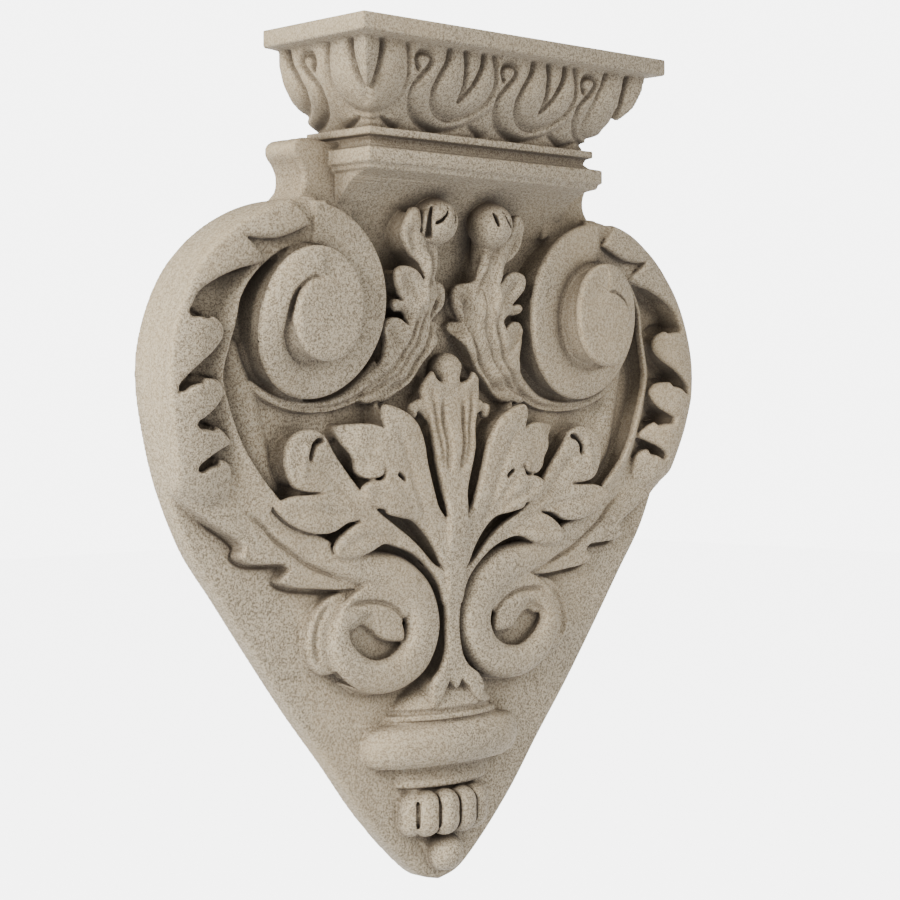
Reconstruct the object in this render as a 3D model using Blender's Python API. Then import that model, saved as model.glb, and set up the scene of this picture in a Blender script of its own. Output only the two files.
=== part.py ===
"""Carved stone corbel: a moulded cap on a bell neck, over a heart-shaped plate of scrolls and leaves.

It faces -Y, its flat back is the plane Y = 0 and +Z is up. The origin is on the back, on the
centre line, ORIGIN_DROP below the top of the cap.

The carving is drawn in minutes, the small unit of a carver's drawing. A drawn place is
(across, level): across is the distance from the centre line, level is measured from the top of
the cap, with places below it negative. A height is the distance from the wall. Both halves are
cut from the same drawing.
"""

import math

import bmesh
import bpy
from mathutils import Vector

# Driving sizes, in metres
HEIGHT = 0.460
CAP_WIDTH = 0.229
CAP_PROJECTION = 0.080
PLATE_THICKNESS = 0.011
ORIGIN_DROP = 0.200

# The drawing is 382 minutes from the top of the cap to the point of the heart
MINUTE = HEIGHT / 382

# How far the carved bodies reach into the plate, and the rounding of their front edges
ROOT = 4
ARRIS = 1.6

# The cap's mouldings from the top down: (inset from the cap's edge, level), in minutes
CAP_PROFILE = (
    (1.0, 0.0),
    (0.0, -1.0),
    (0.0, -6.8),
    (1.0, -7.8),
    (9.5, -8.2),
    (10.5, -15.0),
    (13.0, -22.0),
    (17.0, -28.0),
    (21.0, -32.5),
    (25.0, -37.0),
    (27.5, -42.4),
    (25.2, -42.8),
    (25.2, -46.4),
    (27.5, -47.2),
    (25.5, -50.8),
    (21.0, -52.1),
    (21.0, -58.3),
    (22.5, -58.6),
    (22.8, -61.0),
    (24.0, -61.4),
)
NECK_SHARES = (0.91, 0.80, 0.665, 0.515, 0.325, 0.08)
NECK_FOOT_LEVEL = -114
EGG_SPACING = 53
EGG_TOP = -9
EGG_FOOT = -38.5
EGG_HALF = 16
EGG_SWELL = 3.4
CORNER_EGG_HALF = 12.5
SIDE_EGG_HALF = 9
SIDE_EGG_PLACE = 40
STRAP_FOOT = -41
STRAP_SPREAD = 21.5
STRAP_HALF = 2.4

# Half of the heart's outline, from the neck round to the point
HEART = (
    (69, -52), (70.5, -62), (72, -69), (80, -73.5), (96, -74), (116, -80), (136, -92),
    (151, -108), (161, -130), (164, -150), (158, -185), (151, -205), (141, -225), (126, -245),
    (106, -272), (86, -298), (66, -322), (46, -347), (22, -371), (11, -379), (4, -382),
)
PLATE_DRAFT = 4.5

# The ear beside the neck
EAR = (
    (60, -50), (76, -48.5), (87, -48), (94, -51), (95, -56), (90, -61), (88, -67), (92, -75),
    (94, -84), (60, -84),
)
EAR_HEIGHT = 19.5
EAR_ARRIS = 2.5

# The leafy band: a low body, and over it the leaf with its notched inner edge
BAND = (
    (82, -76), (97, -76.5), (115, -82), (134, -94), (148.5, -109.5), (158, -131), (161, -150),
    (155, -184), (149, -200), (138, -209), (123, -217), (118, -223), (117, -228), (104, -230),
    (95, -232), (96, -238), (86, -241.5), (68, -244), (50, -244), (50, -232), (66, -230),
    (84, -224), (98, -214), (110, -200), (120, -183), (128, -165), (131, -150), (131, -138),
    (127, -122), (118, -110), (104, -101), (88, -97),
)
BAND_LEAF = (
    (81, -74.6), (96, -75), (115.6, -81), (135.4, -92.8), (150.2, -108.6), (160.2, -130.2),
    (163, -150), (160.2, -168), (157, -185), (151.5, -198.5), (141, -206), (131, -208),
    (127, -201), (127, -190), (129.5, -186.5), (136, -184.5), (146, -188.5), (141, -184),
    (135, -181), (128.5, -177.5), (134, -173), (142, -170), (149.5, -169.8), (146, -167.3),
    (139, -163), (134.5, -157), (137, -152.5), (143, -151), (152, -151.8), (158.5, -155.5),
    (156, -150.5), (149, -145), (141, -140), (135, -133.5), (136.5, -128.5), (145, -125),
    (153, -123.8), (150, -116.5), (142, -111), (130, -106), (114.5, -101), (118, -97),
    (124, -93.5), (118, -92.5), (107, -91.5), (97, -88), (89, -84.5),
)

BAND_TOP = 18
BAND_FALL = (-190, 45, 4)  # the level where it starts to sink, over how long a run, and how far
BAND_ARRIS = 3
BAND_LEAF_TOP = 25.5
BAND_LEAF_FALL = (-190, 20, 7)
LEAF_ARRIS = 1.2

# The upper volute: its radius and rim height at each quarter turn, from the top by the inner side
VOLUTE_CENTRE = (86, -119)
VOLUTE_RADII = (46, 39.5, 40.6, 34.5, 31)
VOLUTE_RIMS = (28, 26, 18.5, 28, 30)
VOLUTE_ARRIS = 2.5
VALLEY_HEIGHT = 29
VALLEY_FALL = 4
EYE_CENTRE = (88, -117.5)
EYE_RADII = (20, 23.5)
EYE_HEIGHT = 36
EYE_ARRIS = 1.5

# The spray beside each volute, with the ribbon that runs under the volute into it
RIBBON = (
    (118, -148, 2.0, 13), (106, -157, 2.5, 13), (92, -162, 2.8, 13), (78, -163, 3.0, 13),
    (62, -160, 3.5, 14), (48, -152, 5.0, 16), (38, -144, 6.5, 20),
)
SPRAY = (
    (50, -158), (47, -149), (42, -140), (43, -131), (44, -126), (40, -123.3), (35, -123.6),
    (30.2, -127), (33, -121), (39, -120), (41.5, -117.6), (40, -115.3), (35, -115.8),
    (38.5, -112), (40.5, -107), (40.5, -102), (35, -100.3), (29, -101.5), (23.8, -106.4),
    (27, -99), (33, -94), (38, -87), (37.5, -81), (35, -76), (32.5, -74), (29.5, -76),
    (27.5, -84), (22, -84), (15, -90), (13.5, -98), (12, -106), (8, -106), (4, -107.5),
    (2.2, -111), (3, -116), (6, -121), (9, -124), (4, -124), (2.4, -126), (6, -131),
    (13, -139), (20, -148), (29, -156), (40, -161),
)
SPRAY_TOP = 26
SPRAY_TIP_RISE = (-100, 26, 3)  # the level where it starts to rise, over how long a run, and how far
SPRAY_ROOT_FALL = (-128, 34, 11)
SPRAY_LEAN = (12, 10)  # its inner edge leans back within this distance of the centre line, by this much
CURL = (17.5, -79.8, 10.6, 25)  # the leaf's rolled tip: place, radius and height of its middle

# The palmette: centre leaf and stem in one outline, then the leaves of one side
STEM = (
    (0, -139), (8, -141), (13, -147), (15, -146), (18, -150), (17.5, -157), (14, -162),
    (13, -168), (14.5, -178), (11.2, -190), (8.2, -200), (6.2, -210), (6, -224), (6, -238),
    (4.5, -252), (4, -266), (5, -278), (10, -285), (16, -287.5), (17.5, -292), (14.7, -297),
    (8, -295), (3, -290.5), (0, -289.5),
)
STEM_TOP = 20
LEAF_CURL = (0, -146, 8.8, 15.5)
SIDE_CURL = ((12, -168, 2.2, 17), (15, -165, 2.4, 17), (19, -163, 3.4, 18), (22, -163.5, 2.6, 17))
SIDE_LEAF = (
    (2, -222), (6.4, -213.2), (11, -208), (14.3, -200), (17.5, -190), (21, -178), (26, -170),
    (35, -164.3), (45, -162.3), (44.6, -172.4), (52, -170.5), (60, -170.5), (68.3, -172.5),
    (65, -181), (60, -188), (57.5, -192.5), (52, -195), (46, -194), (44, -191), (45.5, -195.5),
    (52, -195.8), (57.5, -199), (55, -204), (48, -208), (42, -210.5), (34, -212.6),
    (26, -214), (18, -220.5), (12.5, -228), (7.3, -236.5), (2, -240),
)
SIDE_LEAF_TOP = 23
SIDE_LEAF_TIP = (45, 24, 6)  # it sinks from this far out, over how long a run, and how far
SIDE_LEAF_TIP_LEVELS = (-175, 20)
SIDE_LEAF_ROOT = (20, 3)
LOWER_LEAF = (
    (2, -242), (7.3, -237), (12, -234.5), (20.5, -227), (29, -220.5), (38, -215), (46, -210),
    (56, -201), (66, -190), (73, -182), (79, -175), (87, -173), (95, -175.5), (99.5, -183),
    (98.5, -191), (93, -198.5), (86, -200), (80, -200.4), (86, -200.9), (97, -201.5),
    (105, -205.5), (101, -210), (92, -215.5), (82, -218), (72, -217.3), (64, -213.8),
    (57.9, -213.4), (65, -217), (71, -222.5), (71, -228), (63, -229.6), (53, -227.5),
    (43, -224.3), (33, -226.5), (24, -231), (15.5, -238), (9, -246), (6, -254),
)
LOWER_LEAF_TOP = 20.5

# The lower volute: the coil's centre line as (across, level, half width, height)
COIL = (
    (86, -226, 6, 15), (66, -234.5, 8, 17), (48, -236, 10, 19), (32, -241, 11.5, 20),
    (20, -251, 11.5, 20), (16.5, -264, 11, 20), (23, -277, 10.5, 20), (36, -283, 8.5, 20),
    (50, -283, 8, 20), (61, -276, 8, 19), (65, -264, 8, 18), (58, -254, 6, 17),
    (46, -254, 5, 16),
)
COIL_BUD = (40, -263, 8, 12)
BACK_LEAF_TOP = 14
BACK_LEAF = (
    (56, -245), (70, -245), (79, -253), (83.5, -264), (81, -275), (74, -280), (66, -281),
    (60, -262),
)

# The vase under the stem, from the top down: (half width, projection, level)
VASE_MIDDLE = 7
VASE = (
    (16, 15, -287), (25, 18, -292), (31, 20, -299), (32.5, 21, -304), (34, 21.5, -305),
    (42, 22.5, -306), (47.5, 25, -309.5), (49, 26, -316.5), (47.5, 25, -323.5),
    (42, 22, -327), (30, 18, -327.5), (28, 17, -331), (29, 18, -335.5), (25, 16.5, -337),
)
GADROON = ((25, 19, -338), (28, 22, -344), (27, 21.5, -349), (21, 18, -355), (8, 12, -359))
GADROON_LOBES = 6
GADROON_CUT = 0.16
BALL = (0, -368.3, 8.8, 10.6)

STONE_COLOUR = (0.42, 0.37, 0.295, 1.0)


def clear_scene():
    for obj in list(bpy.data.objects):
        bpy.data.objects.remove(obj, do_unlink=True)


def place(across, height, level):
    """The point that the drawing gives, in metres."""
    return Vector((across * MINUTE, -height * MINUTE, level * MINUTE + ORIGIN_DROP))


def blend(points, at):
    """A smooth curve through the points, which may hold any number of values, read at a place along it."""
    span = min(int(at), len(points) - 2)
    t = at - span
    before = points[max(span - 1, 0)]
    start, end = points[span], points[span + 1]
    after = points[min(span + 2, len(points) - 1)]
    values = []
    for p, q, r, s in zip(before, start, end, after):
        values.append(q + 0.5 * t * (r - p + t * (2 * p - 5 * q + 4 * r - s + t * (3 * (q - r) + s - p))))
    return values


def turned_inwards(outline, distance):
    """The closed outline moved inwards by a distance, with sharp tips shortened rather than crossed."""
    count = len(outline)
    area = sum(
        outline[i][0] * outline[(i + 1) % count][1] - outline[(i + 1) % count][0] * outline[i][1]
        for i in range(count)
    )
    sign = 1 if area > 0 else -1
    moved = []
    for i, point in enumerate(outline):
        here = Vector(point)
        along = (here - Vector(outline[i - 1])).normalized()
        onward = (Vector(outline[(i + 1) % count]) - here).normalized()
        normal = Vector((-along.y - onward.y, along.x + onward.x)) * sign
        reach = distance * 2 / max(normal.length_squared, 1.6)
        moved.append(here + normal * reach)
    return moved


def add_object(name, bm, carving=None):
    bmesh.ops.remove_doubles(bm, verts=bm.verts, dist=1e-6)
    bmesh.ops.triangulate(bm, faces=[face for face in bm.faces if len(face.verts) > 4])
    bmesh.ops.recalc_face_normals(bm, faces=bm.faces)
    mesh = bpy.data.meshes.new(name)
    bm.to_mesh(mesh)
    bm.free()
    obj = bpy.data.objects.new(name, mesh)
    if carving:
        carving.objects.link(obj)
        obj.hide_render = True
        obj.display_type = "WIRE"
    else:
        bpy.context.scene.collection.objects.link(obj)
    return obj


def loft(name, rings, carving):
    """A closed body through rings of points, each with as many points as the next."""
    bm = bmesh.new()
    rows = [[bm.verts.new(point) for point in ring] for ring in rings]
    for row, following in zip(rows, rows[1:]):
        for i in range(len(row)):
            j = (i + 1) % len(row)
            bm.faces.new((row[i], row[j], following[j], following[i]))
    bm.faces.new(rows[0])
    bm.faces.new(rows[-1])
    return add_object(name, bm, carving)


def relief(name, outline, top, carving, base=ROOT, arris=ARRIS):
    """A flat-topped carved body with a chamfered front edge. The top is a height or a rule for it."""
    def height(point):
        return top(*point) if callable(top) else top

    inner = turned_inwards(outline, arris)
    rings = (
        [place(point[0], base, point[1]) for point in outline],
        [place(point[0], height(point) - arris, point[1]) for point in outline],
        [place(point[0], height(point), point[1]) for point in inner],
    )
    return loft(name, rings, carving)


def sweep(name, path, carving, side, steps=3, base=ROOT):
    """A body of half-round section along a drawn path of (across, level, half width, height)."""
    stations = [blend(path, i / steps) for i in range((len(path) - 1) * steps + 1)]
    rings = []
    for i, (across, level, half, height) in enumerate(stations):
        ahead = stations[min(i + 1, len(stations) - 1)]
        behind = stations[max(i - 1, 0)]
        normal = Vector((behind[1] - ahead[1], ahead[0] - behind[0])).normalized()
        section = ((-1, base), (-1, height - 0.55 * half), (-0.62, height - 0.1 * half), (0, height),
                   (0.62, height - 0.1 * half), (1, height - 0.55 * half), (1, base))
        rings.append([
            place(side * (across + normal.x * half * u), v, level + normal.y * half * u)
            for u, v in section
        ])
    return loft(name, rings, carving)


def ball(name, where, carving, side, segments=14, rings=8):
    across, level, radius, height = where
    bm = bmesh.new()
    bmesh.ops.create_uvsphere(bm, u_segments=segments, v_segments=rings, radius=radius * MINUTE)
    bmesh.ops.translate(bm, verts=bm.verts, vec=place(side * across, height, level))
    return add_object(name, bm, carving)


def make_plate():
    """The heart, from the wall to the plate's face, with its front edge drawn in."""
    spans = len(HEART) - 1
    half = [Vector(blend(HEART, i / 2)) for i in range(2 * spans + 1)]
    outline = half + [Vector((-point.x, point.y)) for point in reversed(half)]
    face = PLATE_THICKNESS / MINUTE
    shoulder = turned_inwards(outline, 0.35 * PLATE_DRAFT)
    front = turned_inwards(outline, PLATE_DRAFT)
    rings = (
        [place(x, 0, z) for x, z in outline],
        [place(x, 0.7 * face, z) for x, z in shoulder],
        [place(x, face, z) for x, z in front],
    )
    return loft("corbel", rings, None)


def cap_ring(inset, level, deeper=0.0):
    """The cap's outline at one level, on three sides with square corners, and flat against the wall."""
    half = CAP_WIDTH / 2 / MINUTE - inset
    reach = CAP_PROJECTION / MINUTE - inset - deeper
    corners = ((-half, 0), (-half, reach), (half, reach), (half, 0))
    return [place(across, height, level) for across, height in corners]


def make_cap(carving):
    """The mouldings, and under them the bell neck that falls back to the plate in a hollow curve."""
    rings = [cap_ring(inset, level) for inset, level in CAP_PROFILE]
    last_inset, last_level = CAP_PROFILE[-1]
    reach = CAP_PROJECTION / MINUTE - last_inset
    fall = reach - PLATE_THICKNESS / MINUTE
    for share in NECK_SHARES:
        level = NECK_FOOT_LEVEL + share * (last_level - NECK_FOOT_LEVEL)
        back = fall * math.sqrt(1 - share * share)
        rings.append(cap_ring(last_inset + 0.3, level, back))
    rings.append(cap_ring(last_inset + 4, NECK_FOOT_LEVEL, reach - ROOT))
    loft("cap", rings, carving)


def cap_reach(level):
    """How far the front of the cap stands from the wall at a level."""
    for (inset, upper), (next_inset, lower) in zip(CAP_PROFILE[3:], CAP_PROFILE[4:]):
        if lower <= level:
            share = (level - upper) / (lower - upper)
            return CAP_PROJECTION / MINUTE - inset - share * (next_inset - inset)
    return CAP_PROJECTION / MINUTE - CAP_PROFILE[-1][0]


def egg(name, middle, turn, half, carving):
    """One egg of the moulding, a drop on the slope of the cap. Turn is 0 on the front, 90 degrees on a side."""
    out = Vector((math.sin(turn), -math.cos(turn), 0))
    across = Vector((math.cos(turn), math.sin(turn), 0))
    steps = 6
    rings = []
    for i in range(steps + 1):
        s = i / steps
        level = EGG_TOP + (EGG_FOOT - EGG_TOP) * s
        width = half * (0.8 + 0.25 * s) * math.sqrt(1 - (0.97 * s) ** 6)
        back = (cap_reach(EGG_TOP) - cap_reach(level)) * (1.25 if turn % (math.pi / 2) else 1)
        ring = []
        for k in range(9):
            angle = math.pi * k / 8
            swell = EGG_SWELL * math.sin(angle) * (1 - 0.5 * s * s)
            ring.append(middle - across * width * math.cos(angle) + out * (swell - back))
        ring.append(middle + across * width * 0.8 - out * (back + 6))
        ring.append(middle - across * width * 0.8 - out * (back + 6))
        rings.append([place(point.x, -point.y, level) for point in ring])
    loft(name, rings, carving)


def strap(name, centre, carving):
    """The strap that runs round one egg, as a U that follows the slope of the cap."""
    path = []
    for i in range(9):
        u = -1 + i / 4
        level = STRAP_FOOT + (EGG_TOP - STRAP_FOOT) * abs(u) ** 2.6
        reach = cap_reach(level) + 1.2 + 0.5 * STRAP_HALF
        path.append((centre + STRAP_SPREAD * math.sin(math.pi / 2 * u), level, STRAP_HALF, reach))
    sweep(name, path, carving, 1, steps=1, base=cap_reach(STRAP_FOOT) - ROOT)


def make_eggs(carving):
    """Eggs in their straps along the front, a leaf on each corner, and one egg on each side."""
    front = cap_reach(EGG_TOP) - 0.5
    edge = CAP_WIDTH / 2 / MINUTE - CAP_PROJECTION / MINUTE + front
    for side in (-1, 1):
        label = "left" if side < 0 else "right"
        centre = side * EGG_SPACING / 2
        egg(f"front_egg_{label}", Vector((centre, -front, 0)), 0, EGG_HALF, carving)
        strap(f"front_strap_{label}", centre, carving)
        corner = Vector((side * (edge - 3.5), -(front - 3.5), 0))
        egg(f"corner_leaf_{label}", corner, side * math.pi / 4, CORNER_EGG_HALF, carving)
        beside = Vector((side * edge, -(front - SIDE_EGG_PLACE), 0))
        egg(f"side_egg_{label}", beside, side * math.pi / 2, SIDE_EGG_HALF, carving)


def make_ear(carving, side, label):
    outline = [(side * x, z) for x, z in EAR]
    relief(f"ear_{label}", outline, EAR_HEIGHT, carving, 0.0, EAR_ARRIS)


def make_volute(carving, side, label):
    """A snail: the spiral wall with its rim, the sloping turn inside it and the raised eye."""
    steps = 40
    rings = [[], [], [], [], [], []]
    for i in range(steps):
        turn = 4 * i / steps
        angle = math.pi / 2 * turn
        radius, rim = blend(list(zip(VOLUTE_RADII, VOLUTE_RIMS)), turn)
        inward = 0.5 - 0.5 * math.cos(angle)
        reach = Vector((-math.sin(angle), math.cos(angle)))
        centre, eye = Vector(VOLUTE_CENTRE), Vector(EYE_CENTRE)
        outer = centre + reach * radius
        shoulder = centre + reach * (radius - VOLUTE_ARRIS)
        foot = eye + Vector((reach.x * EYE_RADII[0], reach.y * EYE_RADII[1]))
        valley = VALLEY_HEIGHT - VALLEY_FALL * inward
        points = (
            (outer, ROOT), (outer, rim - VOLUTE_ARRIS), (shoulder, rim), (foot, valley),
            (eye + (foot - eye) * 0.95, EYE_HEIGHT - EYE_ARRIS), (eye + (foot - eye) * 0.88, EYE_HEIGHT),
        )
        for ring, (point, height) in zip(rings, points):
            ring.append(place(side * point.x, height, point.y))
    loft(f"volute_{label}", rings, carving)


def fallen(distance, run, fall):
    """How far a surface has sunk at a distance, when it sinks evenly over a run and then lies level."""
    return fall * max(0.0, min(1.0, distance / run))


def spray_height(across, level):
    """The spray stands highest along its stem, and its inner lobes and root lie lower."""
    start, run, rise = SPRAY_TIP_RISE
    root, root_run, root_fall = SPRAY_ROOT_FALL
    width, lean = SPRAY_LEAN
    top = SPRAY_TOP + fallen(level - start, run, rise)
    return top - fallen(width - abs(across), width, lean) - fallen(root - level, root_run, root_fall)


def band_height(across, level):
    """The band stands high round the volute and sinks towards the lower scroll."""
    start, run, fall = BAND_FALL
    return BAND_TOP - fallen(start - level, run, fall)


def band_leaf_height(across, level):
    start, run, fall = BAND_LEAF_FALL
    return BAND_LEAF_TOP - fallen(start - level, run, fall)


def side_leaf_height(across, level):
    """The side leaf stands highest at its middle and sinks to its outer tip and to the stem."""
    start, run, fall = SIDE_LEAF_TIP
    upper, height = SIDE_LEAF_TIP_LEVELS
    width, root_fall = SIDE_LEAF_ROOT
    tip_fall = fall - fallen(upper - level, height, fall)
    tip = fallen(abs(across) - start, run, tip_fall)
    return SIDE_LEAF_TOP - tip - fallen(width - abs(across), width, root_fall)


def make_scrollwork(carving, side, label):
    def drawn(outline):
        return [(side * x, z) for x, z in outline]

    relief(f"band_{label}", drawn(BAND), band_height, carving, arris=BAND_ARRIS)
    relief(f"band_leaf_{label}", drawn(BAND_LEAF), band_leaf_height, carving, 0.0, LEAF_ARRIS)
    sweep(f"ribbon_{label}", RIBBON, carving, side)
    relief(f"spray_{label}", drawn(SPRAY), spray_height, carving, arris=LEAF_ARRIS)
    ball(f"spray_curl_{label}", CURL, carving, side)
    relief(f"side_leaf_{label}", drawn(SIDE_LEAF), side_leaf_height, carving)
    relief(f"lower_leaf_{label}", drawn(LOWER_LEAF), LOWER_LEAF_TOP, carving, arris=LEAF_ARRIS)
    sweep(f"side_curl_{label}", SIDE_CURL, carving, side, 2)
    sweep(f"coil_{label}", COIL, carving, side)
    ball(f"coil_bud_{label}", COIL_BUD, carving, side, 12, 8)
    relief(f"back_leaf_{label}", drawn(BACK_LEAF), BACK_LEAF_TOP, carving)


def make_stem(carving):
    left = [(-x, z) for x, z in reversed(STEM) if x > 0]
    relief("stem", list(STEM) + left, STEM_TOP, carving)
    ball("leaf_curl", LEAF_CURL, carving, 1)


def flattened_turning(name, profile, carving, lobes=0):
    """A turned shape pressed towards the plate, with lobes round its front where it has them."""
    steps = 24
    rings = []
    for half, projection, level in profile:
        ring = []
        for i in range(steps + 1):
            angle = math.pi * i / steps
            fullness = abs(math.cos(lobes * (angle - math.pi / 2))) ** 0.7 if lobes else 1.0
            swell = 1 - GADROON_CUT * (1 - fullness)
            across = -half * math.cos(angle) * swell
            height = VASE_MIDDLE + (projection - VASE_MIDDLE) * math.sin(angle) * swell
            ring.append(place(across, height, level))
        ring.append(place(half * 0.85, ROOT, level))
        ring.append(place(-half * 0.85, ROOT, level))
        rings.append(ring)
    loft(name, rings, carving)


def make_vase(carving):
    flattened_turning("vase", VASE, carving)
    flattened_turning("gadroon", GADROON, carving, GADROON_LOBES)
    ball("ball", BALL, carving, 1, 16, 10)


def stone():
    material = bpy.data.materials.new("warm_sandstone")
    material.use_nodes = True
    shader = material.node_tree.nodes["Principled BSDF"]
    shader.inputs["Base Color"].default_value = STONE_COLOUR
    shader.inputs["Roughness"].default_value = 0.9
    shader.inputs["Metallic"].default_value = 0.0
    return material


def main():
    clear_scene()
    carving = bpy.data.collections.new("carving")
    bpy.context.scene.collection.children.link(carving)
    corbel = make_plate()
    make_cap(carving)
    make_eggs(carving)
    make_stem(carving)
    make_vase(carving)
    for side, label in ((-1, "left"), (1, "right")):
        make_ear(carving, side, label)
        make_volute(carving, side, label)
        make_scrollwork(carving, side, label)
    corbel.data.materials.append(stone())
    join = corbel.modifiers.new("carved from one block", "BOOLEAN")
    join.operation = "UNION"
    join.operand_type = "COLLECTION"
    join.collection = carving
    join.solver = "EXACT"


main()
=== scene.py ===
# Dressed corbel: the stone is carved as a field of heights on a heart-shaped plate, joined to
# the moulded cap in one volume, and meshed. The whole drawing is in minutes, 382 to the height.
import math

import bpy
import numpy as np
import openvdb
from mathutils import Matrix, Vector


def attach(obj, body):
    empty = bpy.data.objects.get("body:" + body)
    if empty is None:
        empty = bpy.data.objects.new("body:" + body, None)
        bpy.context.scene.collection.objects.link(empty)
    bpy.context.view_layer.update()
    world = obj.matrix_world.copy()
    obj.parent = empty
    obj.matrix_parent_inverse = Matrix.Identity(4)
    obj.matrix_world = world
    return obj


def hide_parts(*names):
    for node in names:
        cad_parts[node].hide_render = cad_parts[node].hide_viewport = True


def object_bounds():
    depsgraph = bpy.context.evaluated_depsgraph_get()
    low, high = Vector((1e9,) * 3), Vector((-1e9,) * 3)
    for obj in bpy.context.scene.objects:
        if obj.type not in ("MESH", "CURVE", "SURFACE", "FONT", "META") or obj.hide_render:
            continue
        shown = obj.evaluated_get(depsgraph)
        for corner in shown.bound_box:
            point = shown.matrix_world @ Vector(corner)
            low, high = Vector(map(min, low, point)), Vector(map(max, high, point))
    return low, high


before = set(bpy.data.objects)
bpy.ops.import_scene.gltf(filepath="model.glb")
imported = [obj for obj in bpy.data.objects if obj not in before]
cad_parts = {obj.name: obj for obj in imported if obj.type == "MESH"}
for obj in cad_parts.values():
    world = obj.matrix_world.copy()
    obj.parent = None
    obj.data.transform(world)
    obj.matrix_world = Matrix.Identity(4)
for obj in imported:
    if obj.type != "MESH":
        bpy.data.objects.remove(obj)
cadBox = [list(map(float, corner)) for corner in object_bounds()]
minute = (cadBox[1][2] - cadBox[0][2]) / 382
topOfCap = cadBox[1][2]
print("frame loaded, one minute is", round(minute * 1000, 4), "mm")

carving = {
    "cell": 0.62,  # side of a voxel
    "ground": 9.1,  # height of the plate's face over the wall
    "wallSlope": 9.0,  # how steeply a carved edge drops
    "foot": 0.9,  # rounding where an edge meets the ground
    "undercut": 2.6,  # how far the stone is cut back under a high edge
    "lip": 3.2,  # thickness left above the undercut
    "lipReach": 1.4,  # how far the top of an edge counts for its lip
    "tallReach": 3.2,  # the same, for whether a form is high enough to be undercut
    "tallFrom": (16.5, 19.5),  # heights over which the undercut sets in
    "tallLevels": (-290, -284),  # none below these levels
    "tallRim": (4, 9),  # and none this close to the rim of the plate
    "grooves": 6.0,  # deepest cut that isn't an edge
    "grooveSlope": 3.0,  # steepest place that still belongs to such a cut
    "skin": 1.8,  # thickness left under it
    "lipBlend": 0.6,
    "bodyBlend": 0.8,
    "barBlend": 0.5,
    "shell": 2.5,  # distances beyond this one don't matter for the mesh
    "halfWidth": 168,
    "lowest": -384,
    "levels": 387,
    "reach": 72,
    "behind": 3,  # voxels behind the wall face
    "margin": 4,  # room round a form in the grid
    "barMargin": 3,
    "placeSoftness": 9,
    "placePower": 1.5,
    "mostTriangles": 192000,
}

# grid of the front, for the half on the positive side
cell = carving["cell"]
across = (np.arange(int(carving["halfWidth"] / cell)) + 0.5) * cell
level = carving["lowest"] + np.arange(int(carving["levels"] / cell)) * cell
gridX, gridZ = np.meshgrid(across, level, indexing="ij")


def curve(points, closed=True, step=1.4):
    # smooth run through the points; a point with a third value is a sharp corner
    count = len(points)
    flat = [np.array(p[:2], float) for p in points]
    sharp = [len(p) > 2 for p in points]
    made = []
    for i in range(count if closed else count - 1):
        j = (i + 1) % count
        p1, p2 = flat[i], flat[j]
        p0 = flat[i - 1] if closed or i > 0 else p1
        p3 = flat[(i + 2) % count] if closed or i + 2 < count else p2
        if sharp[i]:
            p0 = p1 - (p2 - p1)
        if sharp[j]:
            p3 = p2 + (p2 - p1)
        k0 = max(np.linalg.norm(p1 - p0), 1e-3) ** 0.5
        k1 = max(np.linalg.norm(p2 - p1), 1e-3) ** 0.5
        k2 = max(np.linalg.norm(p3 - p2), 1e-3) ** 0.5
        m1 = (p2 - p1) + k1 * ((p1 - p0) / k0 - (p2 - p0) / (k0 + k1))
        m2 = (p2 - p1) + k1 * ((p3 - p2) / k2 - (p3 - p1) / (k1 + k2))
        parts = max(1, int(np.linalg.norm(p2 - p1) / step))
        for t in np.arange(parts) / parts:
            made.append((2 * t**3 - 3 * t**2 + 1) * p1 + (t**3 - 2 * t**2 + t) * m1
                        + (3 * t**2 - 2 * t**3) * p2 + (t**3 - t**2) * m2)
    if not closed:
        made.append(flat[-1])
    return np.array(made)


def window(points, margin):
    # slice of the grid that holds the points
    low, high = points.min(0) - margin, points.max(0) + margin
    i0, i1 = np.searchsorted(across, (low[0], high[0]))
    j0, j1 = np.searchsorted(level, (low[1], high[1]))
    return slice(max(i0 - 1, 0), i1 + 1), slice(max(j0 - 1, 0), j1 + 1)


def inside(points, px, pz):
    # distance inside a closed outline, negative outside it
    nearest = np.full(px.shape, 1e9)
    odd = np.zeros(px.shape, bool)
    for (ax, az), (bx, bz) in zip(points, np.roll(points, -1, 0)):
        dx, dz = bx - ax, bz - az
        t = np.clip(((px - ax) * dx + (pz - az) * dz) / (dx * dx + dz * dz + 1e-12), 0, 1)
        nearest = np.minimum(nearest, (px - ax - t * dx) ** 2 + (pz - az - t * dz) ** 2)
        if az != bz:
            crossing = ((az > pz) != (bz > pz)) & (px < dx * (pz - az) / (bz - az) + ax)
            odd ^= crossing
    return np.where(odd, 1, -1) * np.sqrt(nearest)


def along(points, px, pz):
    # distance from an open path, and how far along it the nearest place is, from 0 to 1
    nearest = np.full(px.shape, 1e9)
    place = np.zeros(px.shape)
    lengths = np.cumsum([0.0] + [math.dist(a, b) for a, b in zip(points, points[1:])])
    for i, ((ax, az), (bx, bz)) in enumerate(zip(points, points[1:])):
        dx, dz = bx - ax, bz - az
        t = np.clip(((px - ax) * dx + (pz - az) * dz) / (dx * dx + dz * dz + 1e-12), 0, 1)
        distance = (px - ax - t * dx) ** 2 + (pz - az - t * dz) ** 2
        closer = distance < nearest
        nearest = np.where(closer, distance, nearest)
        place = np.where(closer, lengths[i] + t * (lengths[i + 1] - lengths[i]), place)
    return np.sqrt(nearest), place / lengths[-1]


def softMax(a, b, k):
    gap = np.clip(0.5 + 0.5 * (a - b) / k, 0, 1)
    return b + (a - b) * gap + k * gap * (1 - gap)


def fade(value, low, high):
    t = np.clip((value - low) / (high - low), 0, 1)
    return t * t * (3 - 2 * t)


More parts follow.
